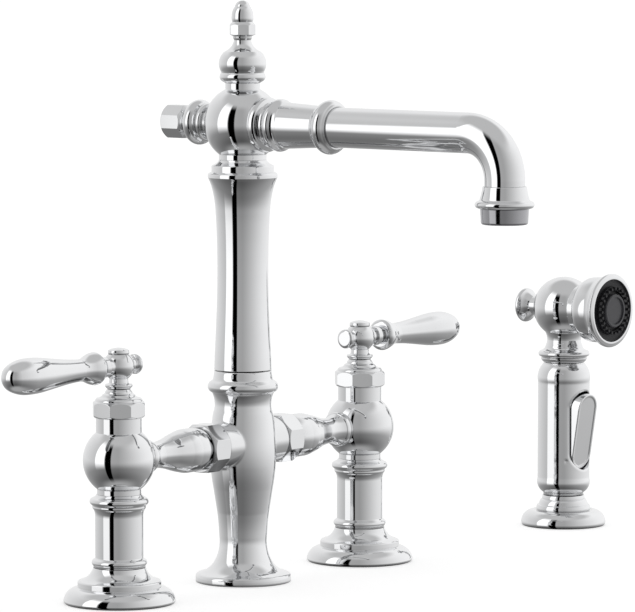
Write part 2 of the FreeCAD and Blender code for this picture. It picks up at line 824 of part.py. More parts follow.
SPIGOT = Profile(
    "spigot",
    (
        ("foot", 0, spigot_radius),
        ("low_land", first_groove_height, spigot_radius),
        ("low_groove_foot", 0, spigot_groove_radius),
        ("low_groove_top", groove_width, spigot_groove_radius),
        ("mid_land_foot", 0, spigot_radius),
        ("mid_land_top", seal_spacing - groove_width, spigot_radius),
        ("high_groove_foot", 0, spigot_groove_radius),
        ("high_groove_top", groove_width, spigot_groove_radius),
        ("high_land_foot", 0, spigot_radius),
        ("top", None, spigot_radius),
    ),
    (("bore", spigot_bore_radius, None),),
    spigot_drop + seam_gap + spigot_rise,
)
SPOUT_COLUMN = Profile(
    "spout_column",
    (
        ("foot", 0, 15.6),
        ("cylinder_top", 5.0, 15.45),
        ("slim", 54.4, 13.85, -0.45),
        ("upper", 32.4, 15.2, -0.35),
        ("flare_top", 12.3, 18.9, -0.5),
        ("lip_top", 1.4, 18.9),
        ("lip_edge", 1.2, 17.9, 0.3),
        ("step_foot", 0.4, 16.9),
        ("step_top", 2.9, 16.9),
        ("step_edge", 1.0, 15.9, 0.25),
        ("shoulder", 2.7, spout_neck_radius, -0.5),
    ),
    (("socket", socket_radius, spigot_rise + fit_gap), ("waterway", tee_bore_radius, None)),
)
TEE = Profile(
    "tee",
    (
        ("foot", 0, spout_neck_radius),
        ("low_neck", 4.0, spout_neck_radius),
        ("high_neck", 30.0, 9.4),
        ("top", 7.3, 9.4),
    ),
)
FINIAL_BULB = Profile(
    "finial_bulb",
    (
        ("foot", 0, 9.4),
        ("ring_foot", 0.9, 10.9),
        ("ring_top", 4.6, 11.6, 1.2),
        ("bulb_foot", 1.0, 11.9),
        ("bulb_top", 10.6, 9.6, 2.0),
        ("tip_neck", 6.0, 4.65, -1.0),
        ("tip_collar", 1.2, 5.2),
    ),
    (("stud", stud_radius + fit_gap, None),),
)
FINIAL_NUT = Profile(
    "finial_nut",
    (
        ("stud_foot", 0, stud_radius),
        ("stud_top", FINIAL_BULB.height + stud_depth, stud_radius),
        ("collar_foot", 0, 5.2),
        ("collar_top", finial_collar_height, 5.3),
        ("nut_foot", 0.8, 7.3),
        ("nut_top", 5.0, 7.3),
        ("nut_edge", 1.2, 6.2),
        ("acorn_foot", 0.6, 5.6),
        ("acorn_cup", 3.2, 5.9, 0.2),
        ("acorn_side", 5.1, 4.2, 0.45),
        ("acorn_tip", 3.4, 0, CAP),
    ),
)
collar_start = size("collar_start", 14.0)
tube_radius = size("tube_radius", 10.7)
SPOUT_COLLAR = Profile(
    "spout_collar",
    (
        ("back", 0, 14.2),
        ("first_ring", 5.2, 14.2, 0.7),
        ("groove_foot", 0.9, 12.2),
        ("groove_top", 2.6, 11.9, -0.3),
        ("second_foot", 1.0, 12.9),
        ("second_ring", 5.0, 13.3, 1.1),
        ("cove", 3.6, 12.4, -0.3),
        ("sleeve", 22.5, 11.15),
        ("third_root", 1.8, 11.9, -0.2),
        ("third_foot", 0.5, 12.4),
        ("third_ring", 7.6, 12.5, 2.1),
        ("lip", 0.8, 11.7),
    ),
)
rear_start = size("rear_start", 15.0)
REAR_COLLAR = Profile(
    "rear_collar",
    (
        ("root_foot", 0, 8.6),
        ("root_top", 7.4, 8.6),
        ("step_foot", 0, 9.8),
        ("step_top", 3.0, 10.0, 0.5),
        ("groove", 1.0, 9.6),
        ("ring_foot", 0.6, 10.8),
        ("ring_top", 6.6, 10.8, 1.5),
        ("neck_foot", 1.2, 7.4, -0.3),
        ("neck_top", 2.4, 7.2),
    ),
)
plug_pin_length = size("plug_pin_length", 20.0)
rear_across_flats = size("rear_across_flats", 17.85)
rear_corner_radius = size("rear_corner_radius", 9.65)
REAR_PLUG = Profile(
    "rear_plug",
    (
        ("pin_foot", 0, rear_bore_radius - fit_gap),
        ("pin_top", plug_pin_length, rear_bore_radius - fit_gap),
        ("head_foot", 0, 7.4),
        ("bevel", 1.8, rear_corner_radius),
        ("side", 11.3, rear_corner_radius),
        ("crown", 1.7, 7.6, 0.2),
    ),
)
finial_across_flats = size("finial_across_flats", 13.6)
finial_corner_radius = size("finial_corner_radius", 7.35)

finial_flats_height = size("finial_flats_height", 7.0)
collar_spigot_end = size("collar_spigot_end", 9.0)
rear_spigot_end = size("rear_spigot_end", 10.0)
tube_socket_depth = size("tube_socket_depth", 7.6)
tube_fit = size("tube_fit", 0.05)

column_foot = POST.height + seam_gap
tee_foot = column_foot + SPOUT_COLUMN.height
spout_height = tee_foot + tee_axis_height
finial_foot = tee_foot + TEE.height


def make_spigot():
    """Brass spigot that the spout turns on, with two seal rings."""
    foot = POST.height - spigot_drop
    turned("swivel_spigot", SPIGOT, (0, 0, foot))
    seals = []
    for index, word in enumerate(("low", "high")):
        height = foot + first_groove_height + seal_spacing * index
        seals.append(ring(f"{word}_seal", spigot_radius, spigot_groove_radius, seal_width, (0, 0, height)))
    group("spigot_seals", seals)


def make_spout_column():
    """Tapered column, ball tee and finial."""
    turned("spout_column", SPOUT_COLUMN, (0, 0, column_foot))
    tee = turned("tee_body", TEE, (0, 0, tee_foot))
    ball(tee, tee_ball_radius, tee_axis_height)
    trim_foot(tee, tee_ball_radius, tee_axis_height)
    drill(tee, "waterway", tee_bore_radius, tee_axis_height + tee_bore_radius, (0, 0, 0), "+Z")
    centre = (0, 0, tee_axis_height)
    drill(tee, "front_bore", collar_spigot_radius + fit_gap, tee_ball_radius + cut_excess, centre, "-Y")
    drill(tee, "rear_bore", rear_spigot_radius + fit_gap, tee_ball_radius + cut_excess, centre, "+Y")
    drill(tee, "top_bore", stud_radius + fit_gap, tee_top_bore, (0, 0, TEE.height - tee_top_bore), "+Z")
    turned("finial_bulb", FINIAL_BULB, (0, 0, finial_foot))
    nut = turned("finial_nut", FINIAL_NUT, (0, 0, finial_foot - stud_depth))
    flats_foot = FINIAL_BULB.height + stud_depth + finial_collar_height
    mill_flats(nut, finial_across_flats, finial_corner_radius, flats_foot, finial_flats_height, nut_sides)


def make_rear():
    """Collar and octagonal plug at the back of the tee."""
    collar = turned("rear_collar", REAR_COLLAR, (0, rear_start, spout_height), "+Y")
    ball_seat(collar, tee_ball_radius, -rear_start)
    spigot_length = tee_ball_radius - rear_spigot_end
    boss(collar, "spigot", rear_spigot_radius, spigot_length, (0, 0, rear_spigot_end - rear_start), "+Z")
    bore_length = REAR_COLLAR.height + rear_start - rear_spigot_end
    drill(collar, "bore", rear_bore_radius, bore_length, (0, 0, rear_spigot_end - rear_start), "+Z")
    plug_start = rear_start + REAR_COLLAR.height - plug_pin_length
    plug = turned("rear_plug", REAR_PLUG, (0, plug_start, spout_height), "+Y")
    head_height = REAR_PLUG.height - plug_pin_length
    mill_flats(plug, rear_across_flats, rear_corner_radius, plug_pin_length, head_height, nut_sides)


def make_spout_collar():
    """Ringed collar that carries the spout's tube."""
    collar = turned("spout_collar", SPOUT_COLLAR, (0, -collar_start, spout_height), "-Y")
    ball_seat(collar, tee_ball_radius, -collar_start)
    spigot_foot = (0, 0, collar_spigot_end - collar_start)
    boss(collar, "spigot", collar_spigot_radius, tee_ball_radius - collar_spigot_end, spigot_foot, "+Z")
    bore_length = SPOUT_COLLAR.height + collar_start - collar_spigot_end
    drill(collar, "waterway", spout_bore_radius, bore_length, spigot_foot, "+Z")
    socket_foot = (0, 0, SPOUT_COLLAR.height - tube_socket_depth)
    drill(collar, "tube_socket", tube_radius + tube_fit, tube_socket_depth, socket_foot, "+Z")


# Spout tube and outlet

spout_reach = size("spout_reach", 176.4)
spout_bend_radius = size("spout_bend_radius", 23.8)
tube_wall = size("tube_wall", 1.5)
spout_drop = size("spout_drop", 11.3)
aerator_thread_radius = size("aerator_thread_radius", 10.3)
aerator_thread_length = size("aerator_thread_length", 3.4)
aerator_washer_thickness = size("aerator_washer_thickness", 1.5)
mouth_depth = size("mouth_depth", 1.2)
tube_start = collar_start + SPOUT_COLLAR.height - tube_socket_depth + tube_fit

AERATOR_CAP = Profile(
    "aerator_cap",
    (("mouth_foot", 0, 11.2), ("mouth_edge", 1.2, 12.3, 0.3), ("top", 6.9, 12.7)),
    (("mouth", 9.4, mouth_depth), ("thread", aerator_thread_radius + fit_gap, None)),
)
SPOUT_END = Profile(
    "spout_end",
    (
        ("foot", 0, 13.0),
        ("ring_foot", 0.4, 14.2),
        ("ring_top", 3.6, 14.2, 1.35),
        ("cove", 0.9, 13.0, -0.2),
        ("socket_top", 6.2, 11.6, -0.15),
        ("edge", 0.5, 11.3, 0.1),
    ),
    (("thread", aerator_thread_radius, aerator_thread_length), ("tube", tube_radius + tube_fit, None)),
)
tube_end = spout_height - spout_bend_radius - spout_drop
spout_end_foot = tube_end - aerator_thread_length
outlet_height = spout_end_foot - AERATOR_CAP.height
insert_foot = outlet_height + mouth_depth
AERATOR_INSERT = Profile(
    "aerator_insert",
    (
        ("foot", 0, aerator_thread_radius - fit_gap),
        ("top", tube_end - aerator_washer_thickness - insert_foot, aerator_thread_radius - fit_gap),
    ),
    (("outlet", 8.2, 4.0), ("screen", 0, 1.2), ("inlet", 8.2, None)),
)


def make_spout_tube():
    """Level tube that turns down over the sink."""
    body = new_body("spout_tube", (0, 0, spout_height))
    bend_start = -(spout_reach - spout_bend_radius)
    drop = -(spout_height - tube_end)
    path = new_sketch(body, "path", "YZ_Plane")
    points = (
        (-tube_start, ZERO),
        (bend_start, ZERO),
        (-spout_reach, -spout_bend_radius),
        (-spout_reach, drop),
    )
    draw_spout_path(path, points)
    section = new_sketch(body, "section", "XZ_Plane", tube_start)
    for index, radius in enumerate((tube_radius, tube_radius - tube_wall)):
        section.addGeometry(Part.Circle(FreeCAD.Vector(0, 0, 0), FreeCAD.Vector(0, 0, 1), radius.value))
        section.addConstraint(Sketcher.Constraint("Coincident", index, 3, -1, 1))
        bind(section, Sketcher.Constraint("Radius", index, radius.value), radius.text)
    pipe = body.newObject("PartDesign::AdditivePipe", "spout_tube_pipe")
    pipe.Profile = section
    pipe.Spine = path
    nodes.append(body)


def draw_spout_path(sketch, points):
    """Draw the run, the bend and the drop of the tube's middle line."""
    where = [FreeCAD.Vector(x.value, y.value, 0) for x, y in points]
    bend = spout_bend_radius.value
    centre = FreeCAD.Vector(where[1].x, where[2].y, 0)
    circle = Part.Circle(centre, FreeCAD.Vector(0, 0, 1), bend)
    sketch.addGeometry(Part.LineSegment(where[0], where[1]))
    sketch.addGeometry(Part.ArcOfCircle(circle, math.pi / 2, math.pi))
    sketch.addGeometry(Part.LineSegment(where[2], where[3]))
    sketch.addConstraint(Sketcher.Constraint("Coincident", 0, 2, 1, 1))
    sketch.addConstraint(Sketcher.Constraint("Coincident", 1, 2, 2, 1))
    pin_point(sketch, 0, 1, *points[0])
    pin_point(sketch, 0, 2, *points[1])
    pin_point(sketch, 2, 1, *points[2])
    pin_point(sketch, 2, 2, *points[3])
    bind(sketch, Sketcher.Constraint("Radius", 1, bend), spout_bend_radius.text)


def make_outlet():
    """Threaded end of the spout with its aerator."""
    y = -spout_reach
    turned("spout_end", SPOUT_END, (0, y, spout_end_foot))
    turned("aerator_cap", AERATOR_CAP, (0, y, outlet_height))
    turned("aerator_insert", AERATOR_INSERT, (0, y, insert_foot))
    thickness = aerator_washer_thickness
    radius = aerator_thread_radius - fit_gap
    ring("aerator_washer", radius, spout_bore_radius, thickness, (0, y, tube_end - thickness))


# Side spray

holder_gasket_radius = size("holder_gasket_radius", 19.0)
holder_gasket_bore = size("holder_gasket_bore", 14.0)
hose_hole_radius = size("hose_hole_radius", 9.5)
hose_hole_length = size("hose_hole_length", 3.2)
wand_socket_radius = size("wand_socket_radius", 10.6)
wand_spigot_radius = wand_socket_radius - running_gap
wand_gap = size("wand_gap", 0.3)
wand_bore_radius = size("wand_bore_radius", 3.0)
spray_ball_radius = size("spray_ball_radius", 18.2)
spray_ball_height = size("spray_ball_height", 31.85)

HOLDER = Profile(
    "holder",
    (
        ("foot", 0, 24.4),
        ("dome_side", 2.4, 24.9, 0.2),
        ("dome_top", 6.2, 16.6, 2.4),
        ("ring_foot", 0.2, 15.9),
        ("ring_top", 3.0, 15.6, 0.2),
        ("step_foot", 0.3, 14.6),
        ("step_top", 3.0, 13.4, 0.2),
        ("collar_foot", 0.3, 12.6),
        ("collar_top", 2.3, 12.2, 0.15),
    ),
    (
        ("gasket", holder_gasket_radius + fit_gap, gasket_thickness),
        ("hose", hose_hole_radius, hose_hole_length),
        ("socket", wand_socket_radius, None),
    ),
)
wand_spigot_length = HOLDER.height - gasket_thickness - hose_hole_length
SPRAY_HANDLE = Profile(
    "spray_handle",
    (
        ("spigot_foot", 0, wand_spigot_radius),
        ("spigot_top", wand_spigot_length, wand_spigot_radius),
        ("neck_foot", 0, 11.9),
        ("neck_top", 1.3, 11.9),
        ("shoulder", 8.6, 15.35, 1.6),
        ("barrel", 57.0, 15.25),
        ("high_shoulder", 11.2, 12.0, 1.5),
        ("top", 0.9, 12.0),
    ),
    (("bore", wand_bore_radius, None),),
)
SPRAY_HEAD = Profile(
    "spray_head",
    (
        ("foot", 0, 12.4),
        ("low_ring", 2.2, 13.6, 0.3),
        ("groove", 0.6, 13.2),
        ("ring_foot", 0.6, 14.6),
        ("ring_top", 3.0, 14.0, 0.8),
        ("cove", 3.0, 10.9, -0.7),
        ("neck", 3.4, 10.0, -0.15),
        ("throat", 4.2, 10.9, -0.2),
        ("ball_root", 4.5, 14.9, -0.35),
    ),
    (("bore", wand_bore_radius, None),),
)
spray_knob_start = size("spray_knob_start", 15.0)
SPRAY_KNOB = Profile(
    "spray_knob",
    (
        ("neck_foot", 0, 5.6),
        ("neck_top", 6.6, 5.6),
        ("flare", 4.8, 9.5, -0.6),
        ("rim", 1.9, 9.95, 0.2),
        ("face", 1.4, 8.3, 0.3),
    ),
)
bell_start = size("bell_start", 11.0)
chamber_radius = size("chamber_radius", 13.0)
chamber_depth = size("chamber_depth", 3.0)
face_radius = size("face_radius", 18.3)
face_recess = size("face_recess", 1.6)
face_thickness = size("face_thickness", 2.5)
SPRAY_BELL = Profile(
    "spray_bell",
    (
        ("collar_foot", 0, 13.9),
        ("collar_top", 4.2, 14.0),
        ("step", 0.3, 13.3),
        ("bowl_foot", 0.4, 14.2),
        ("bowl", 5.6, 19.0, 1.2),
        ("skirt", 5.8, 19.2, 0.1),
        ("rim_foot", 4.6, 20.9, -0.5),
        ("rim_edge", 1.5, 21.6, 0.15),
        ("rim_front", 1.3, 20.6, 0.35),
        ("rim_top", 0.4, 19.4),
    ),
)
nozzle_ring_outer = size("nozzle_ring_outer", 14.3)
nozzle_ring_inner = size("nozzle_ring_inner", 12.0)
nozzle_ring_height = size("nozzle_ring_height", 2.0)
nozzle_radius = size("nozzle_radius", 0.8)
nozzle_height = size("nozzle_height", 1.9)
nozzle_count = 24
spray_centre_radius = size("spray_centre_radius", 9.7)

HOSE_INLET = Profile(
    "hose_inlet",
    (("foot", 0, 6.6), ("flange_top", 1.6, 6.6), ("thread_foot", 0, 6.0), ("thread_top", 3.0, 6.0)),
    (("bore", 3.2, None),),
)
slot_half_width = size("slot_half_width", 9.8)
slot_low = size("slot_low", 33.5)
slot_high = size("slot_high", 80.2)
slot_floor = size("slot_floor", 5.0)
slot_cut_length = size("slot_cut_length", 20.0)
end_flatness = size("end_flatness", 0.4)
trigger_gap = size("trigger_gap", 0.75)
trigger_pivot_height = size("trigger_pivot_height", 39.0)
trigger_pivot_depth = size("trigger_pivot_depth", 9.0)
trigger_front = size("trigger_front", 3.6)
trigger_thickness = size("trigger_thickness", 6.0)
trigger_tilt = size("trigger_tilt", 9.0)
trigger_pin_radius = size("trigger_pin_radius", 1.2)
trigger_pin_half_length = size("trigger_pin_half_length", 11.2)
trigger_rim = size("trigger_rim", 1.5)
trigger_dish = size("trigger_dish", 0.4)
valve_pin_radius = size("valve_pin_radius", 1.5)
valve_pin_height = size("valve_pin_height", 62.0)
valve_pin_tip = size("valve_pin_tip", 9.7)
valve_pin_length = size("valve_pin_length", 8.0)
spray_spigot_radius = size("spray_spigot_radius", 8.0)
spray_spigot_end = size("spray_spigot_end", 9.0)
spray_pin_radius = size("spray_pin_radius", 3.5)
spray_pin_end = size("spray_pin_end", 10.0)

wand_foot = gasket_thickness + hose_hole_length + wand_gap
head_foot = wand_foot + SPRAY_HANDLE.height
spray_height = head_foot + spray_ball_height
face_front = bell_start + SPRAY_BELL.height - face_recess


def make_holder():
    """Deck holder of the side spray and its gasket."""
    turned("spray_holder", HOLDER, (spray_offset, 0, 0))
    at = (spray_offset, 0, 0)
    ring("spray_gasket", holder_gasket_radius, holder_gasket_bore, gasket_thickness, at)


def make_spray_handle():
    """Wand with the long slot that its trigger sits in."""
    body = turned("spray_handle", SPRAY_HANDLE, (spray_offset, 0, wand_foot))
    slot = new_sketch(body, "slot", "XZ_Plane", slot_floor)
    pill(slot, slot_half_width, slot_low - wand_foot, slot_high - wand_foot)
    pocket = body.newObject("PartDesign::Pocket", "spray_handle_slot_cut")
    pocket.Profile = slot
    pocket.Length = slot_cut_length.value
    pocket.setExpression("Length", slot_cut_length.text)
    pocket.Reversed = True
    body.Tip = pocket
    pivot_z = trigger_pivot_height - wand_foot
    pin_at = (-trigger_pin_half_length, -trigger_pivot_depth, pivot_z)
    drill(body, "pin_hole", trigger_pin_radius + running_gap, trigger_pin_half_length * 2, pin_at, "+X")
    guide_at = (0, 0, valve_pin_height - wand_foot)
    drill(body, "pin_guide", valve_pin_radius + running_gap, slot_floor + cut_excess, guide_at, "-Y")


def make_trigger():
    """Paddle trigger with a raised rim, its pivot pin and the valve pin behind it."""
    pivot = (spray_offset, -trigger_pivot_depth, trigger_pivot_height)
    body = new_body("trigger", pivot)
    tilt = FreeCAD.Rotation(DIRECTIONS["+X"], trigger_tilt.value)
    body.Placement = FreeCAD.Placement(body.Placement.Base, tilt)
    body.setExpression("Placement.Rotation.Angle", f"{trigger_tilt.text} * 1 deg")
    low = slot_low + trigger_gap - trigger_pivot_height
    high = slot_high - trigger_gap - trigger_pivot_height
    half_width = slot_half_width - trigger_gap
    outline = new_sketch(body, "outline", "XZ_Plane", trigger_front - trigger_thickness)
    pill(outline, half_width, low, high)
    pad = body.newObject("PartDesign::Pad", "trigger_pad")
    pad.Profile = outline
    pad.Length = trigger_thickness.value
    pad.setExpression("Length", trigger_thickness.text)
    body.Tip = pad
    dish = new_sketch(body, "dish", "XZ_Plane", trigger_front - trigger_dish)
    pill(dish, half_width - trigger_rim, low + trigger_rim, high - trigger_rim)
    hollow = body.newObject("PartDesign::Pocket", "trigger_dish_cut")
    hollow.Profile = dish
    hollow.Length = cut_excess.value
    hollow.setExpression("Length", cut_excess.text)
    hollow.Reversed = True
    body.Tip = hollow
    drill(body, "pivot_hole", trigger_pin_radius + running_gap, half_width * 2, (-half_width, 0, 0), "+X")
    nodes.append(body)
    pin_at = (spray_offset - trigger_pin_half_length, -trigger_pivot_depth, trigger_pivot_height)
    pin = Profile(
        "trigger_pin",
        (("foot", 0, trigger_pin_radius), ("top", trigger_pin_half_length * 2, trigger_pin_radius)),
    )
    turned("trigger_pin", pin, pin_at, "+X")
    valve_pin = Profile(
        "spray_valve_pin", (("foot", 0, valve_pin_radius), ("top", valve_pin_length, valve_pin_radius))
    )
    turned("spray_valve_pin", valve_pin, (spray_offset, -valve_pin_tip, valve_pin_height), "+Y")


def make_spray_head():
    """Ball head, rear knob and the bell that holds the spray face."""
    head = turned("spray_head", SPRAY_HEAD, (spray_offset, 0, head_foot))
    ball(head, spray_ball_radius, spray_ball_height)
    centre = (0, 0, spray_ball_height)
    drill(head, "bore", wand_bore_radius, spray_ball_height, (0, 0, 0), "+Z")
    drill(head, "front_bore", spray_spigot_radius + fit_gap, spray_ball_radius + cut_excess, centre, "-Y")
    drill(head, "rear_bore", spray_pin_radius + fit_gap, spray_ball_radius + cut_excess, centre, "+Y")
    knob = turned("spray_knob", SPRAY_KNOB, (spray_offset, spray_knob_start, spray_height), "+Y")
    ball_seat(knob, spray_ball_radius, -spray_knob_start)
    pin_foot = (0, 0, spray_pin_end - spray_knob_start)
    boss(knob, "pin", spray_pin_radius, spray_ball_radius - spray_pin_end, pin_foot, "+Z")
    bell = turned("spray_bell", SPRAY_BELL, (spray_offset, -bell_start, spray_height), "-Y")
    ball_seat(bell, spray_ball_radius, -bell_start)
    spigot_foot = (0, 0, spray_spigot_end - bell_start)
    boss(bell, "spigot", spray_spigot_radius, spray_ball_radius - spray_spigot_end, spigot_foot, "+Z")
    bore_length = SPRAY_BELL.height + bell_start - spray_spigot_end
    drill(bell, "waterway", wand_bore_radius, bore_length, spigot_foot, "+Z")
    seat_at = (0, 0, SPRAY_BELL.height - face_recess - face_thickness)
    drill(bell, "face_seat", face_radius + fit_gap, face_thickness + face_recess, seat_at, "+Z")
    chamber_at = (0, 0, SPRAY_BELL.height - face_recess - face_thickness - chamber_depth)
    drill(bell, "chamber", chamber_radius, chamber_depth, chamber_at, "+Z")


def make_spray_face():
    """Dark face plate, ring of nozzles and centre disc."""
    back = face_front - face_thickness
    plate = Profile("spray_face", (("foot", 0, face_radius), ("top", face_thickness, face_radius)))
    turned("spray_face", plate, (spray_offset, -back, spray_height), "-Y")
    ring_profile = Profile(
        "nozzle_ring",
        (("foot", 0, nozzle_ring_outer), ("top", nozzle_ring_height, nozzle_ring_outer)),
        (("hole", nozzle_ring_inner, None),),
    )
    nozzles = turned("nozzle_ring", ring_profile, (spray_offset, -face_front, spray_height), "-Y")
    middle = (nozzle_ring_outer + nozzle_ring_inner) * 0.5
    nozzle = boss(nozzles, "nozzle", nozzle_radius, nozzle_height + nozzle_ring_height, (middle, 0, 0), "+Z")
    pattern = nozzles.newObject("PartDesign::PolarPattern", "nozzle_ring_nozzles")
    pattern.Originals = [nozzle]
    pattern.Axis = (origin_feature(nozzles, "Z_Axis"), [""])
    pattern.Angle = 360
    pattern.Occurrences = nozzle_count
    nozzles.Tip = pattern
    disc = Profile(
        "spray_centre",
        (("foot", 0, spray_centre_radius), ("side", 3.4, spray_centre_radius), ("edge", 0.5, 9.2)),
        (("solid", 0, 2.9), ("dish", 8.0, None)),
    )
    turned("spray_centre", disc, (spray_offset, -face_front, spray_height), "-Y")


def make_hose_inlet():
    """Threaded inlet for the spray hose under the wand."""
    turned("hose_inlet", HOSE_INLET, (spray_offset, 0, wand_foot - HOSE_INLET.height))


def check_document():
    """Stop at any object that failed and at any node without a sound shape."""
    doc.recompute()
    for item in doc.Objects:
        if "Invalid" in item.State or "Error" in item.State:
            raise ValueError(f"{item.Name} failed")
    for node in nodes:
        if node.Shape.isNull() or not node.Shape.isValid():
            raise ValueError(f"{node.Label} has no sound shape")


def write_nodes():
    """Write one STEP file for each node."""
    os.makedirs("parts", exist_ok=True)
    for node in nodes:
        node.Shape.exportStep(f"parts/{node.Label}.step")


make_post()
ring("post_gasket", post_gasket_radius, post_gasket_bore, gasket_thickness, (0, 0, 0))
make_diverter()
for side, sign, outward, inward in SIDES:
    make_bridge_arm(side, sign, outward)
    make_valve(side, sign, outward, inward)
    make_handle(side, sign, outward, inward)
make_union_washers()
make_valve_rings()
make_spigot()
make_spout_column()
make_rear()
make_spout_collar()
make_spout_tube()
make_outlet()
make_holder()
make_spray_handle()
make_trigger()
make_spray_head()
make_spray_face()
make_hose_inlet()
check_document()
write_nodes()
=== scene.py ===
import json
import math

import bpy
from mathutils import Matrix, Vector

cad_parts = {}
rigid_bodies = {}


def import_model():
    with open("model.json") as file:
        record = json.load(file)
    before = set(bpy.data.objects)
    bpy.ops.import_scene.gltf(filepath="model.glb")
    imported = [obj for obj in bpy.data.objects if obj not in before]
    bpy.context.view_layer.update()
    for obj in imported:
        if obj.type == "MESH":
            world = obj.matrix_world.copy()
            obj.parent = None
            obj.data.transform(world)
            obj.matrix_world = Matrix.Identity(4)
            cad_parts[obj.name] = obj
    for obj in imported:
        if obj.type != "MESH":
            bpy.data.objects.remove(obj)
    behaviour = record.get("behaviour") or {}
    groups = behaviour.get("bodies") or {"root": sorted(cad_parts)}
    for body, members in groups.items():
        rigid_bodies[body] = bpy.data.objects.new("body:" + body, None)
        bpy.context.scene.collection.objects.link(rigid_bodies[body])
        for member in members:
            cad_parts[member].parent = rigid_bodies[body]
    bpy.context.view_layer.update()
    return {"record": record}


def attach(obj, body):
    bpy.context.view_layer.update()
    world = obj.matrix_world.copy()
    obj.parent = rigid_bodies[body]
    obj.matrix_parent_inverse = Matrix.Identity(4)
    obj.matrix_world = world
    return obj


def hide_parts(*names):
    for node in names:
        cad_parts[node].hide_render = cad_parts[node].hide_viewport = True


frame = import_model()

# Bridge kitchen faucet in polished chrome on a pale floor. Metres, in the CAD frame.

# Camera: a long lens from the front left, nearly level with the spray head
CAMERA_AT = Vector((-1.94498, -1.62908, 0.37400))
CAMERA_HEADING = math.radians(50.963)
CAMERA_TILT = math.radians(5.048)
CAMERA_REACH = 200.0
LENS = 266.74
SENSOR = 36.0


def add_camera():
    """Camera at the photograph's place and angle."""
    data = bpy.data.cameras.new("photo_camera")
    data.lens = LENS
    data.sensor_width = SENSOR
    data.sensor_fit = "HORIZONTAL"
    data.clip_end = CAMERA_REACH
    camera = bpy.data.objects.new("photo_camera", data)
    look = Vector((
        math.sin(CAMERA_HEADING) * math.cos(CAMERA_TILT),
        math.cos(CAMERA_HEADING) * math.cos(CAMERA_TILT),
        -math.sin(CAMERA_TILT),
    ))
    camera.rotation_euler = look.to_track_quat("-Z", "Y").to_euler()
    camera.location = CAMERA_AT
    bpy.context.scene.collection.objects.link(camera)
    bpy.context.scene.camera = camera


class Nodes:
    """Short way to add nodes to a node tree."""

    def __init__(self, tree):
        self.tree = tree
        tree.nodes.clear()

    def add(self, kind, **settings):
        node = self.tree.nodes.new(kind)
        for key, value in settings.items():
            setattr(node, key, value)
        return node

    def link(self, source, target):
        self.tree.links.new(source, target)

    def math(self, operation, first, second=None):
        node = self.add("ShaderNodeMath", operation=operation)
        for socket, value in zip(node.inputs, (first, second)):
            if isinstance(value, (int, float)):
                socket.default_value = value
            elif value is not None:
                self.link(value, socket)
        return node.outputs[0]

    def mix(self, factor, first, second):
        """Mix two colours, each given as a socket or as a tuple."""
        node = self.add("ShaderNodeMix", data_type="RGBA")
        self.link(factor, node.inputs["Factor"])
        for name, value in (("A", first), ("B", second)):
            if isinstance(value, tuple):
                node.inputs[name].default_value = value
            else:
                self.link(value, node.inputs[name])
        return node.outputs["Result"]

    def slope(self, value, start, end):
        """Run smoothly from 0 to 1 as the value goes from start to end."""
        node = self.add("ShaderNodeMapRange", interpolation_type="SMOOTHSTEP")
        node.inputs["From Min"].default_value = start
        node.inputs["From Max"].default_value = end
        self.link(value, node.inputs["Value"])
        return node.outputs["Result"]


def grey(level):
    """Return a neutral colour."""
    return (level, level, level, 1.0)


# Studio that the chrome mirrors. Angles are in degrees round from the camera's side, growing
# towards the right of the picture, and heights in degrees, below eye level where under 0.
# The walls are dimmer round the camera and brighter behind the part, a key light fills them
# from the right, a white screen stands at the left, and a black flag beside the camera.
WALL_LEVEL = 0.65
WALL_FRONT_DIM = 0.25
KEY_LEVEL = 0.25
SCREEN = (-80, -46)
SCREEN_LEVEL = 1.3
FLAG = (-44, -24)
PANEL_EDGE = 1.5

# The ground is a share of the walls, darkens downwards and has a pale middle under the part
GROUND_SHARE = 0.4
FOOT_RISE = (-25, 0)
GROUND_FADE = (-20, -50)
GROUND_FADE_SHARE = 0.4
MIDDLE_RISE = (-50, -75)
MIDDLE_LEVEL = 0.4
CEILING_RISE = (40, 60)
CEILING_LEVEL = 0.55
BACKGROUND_LEVEL = 0.97


def add_world():
    """Studio that the part mirrors, with a plain white background for the camera."""
    world = bpy.data.worlds.new("studio")
    bpy.context.scene.world = world
    world.use_nodes = True
    nodes = Nodes(world.node_tree)
    output = nodes.add("ShaderNodeOutputWorld")
    background = nodes.add("ShaderNodeBackground")
    coordinates = nodes.add("ShaderNodeTexCoord")
    split = nodes.add("ShaderNodeSeparateXYZ")
    nodes.link(coordinates.outputs["Generated"], split.inputs[0])
    around, height = studio_angles(nodes, *split.outputs)
    level = wall_level(nodes, around)
    turn = nodes.math("MULTIPLY", around, 180 / math.pi)
    walls = nodes.mix(panel(nodes, turn, *SCREEN), level, grey(SCREEN_LEVEL))
    fade = nodes.math("MULTIPLY", nodes.slope(height, *GROUND_FADE), GROUND_FADE_SHARE)
    ground = nodes.mix(fade, nodes.math("MULTIPLY", level, GROUND_SHARE), grey(0.0))
    room = nodes.mix(nodes.slope(height, *FOOT_RISE), ground, walls)
    room = nodes.mix(panel(nodes, turn, *FLAG), room, grey(0.0))
    room = nodes.mix(nodes.slope(height, *MIDDLE_RISE), room, grey(MIDDLE_LEVEL))
    room = nodes.mix(nodes.slope(height, *CEILING_RISE), room, grey(CEILING_LEVEL))
    path = nodes.add("ShaderNodeLightPath")
    seen = nodes.mix(path.outputs["Is Camera Ray"], room, grey(BACKGROUND_LEVEL))
    nodes.link(seen, background.inputs["Color"])
    nodes.link(background.outputs[0], output.inputs["Surface"])


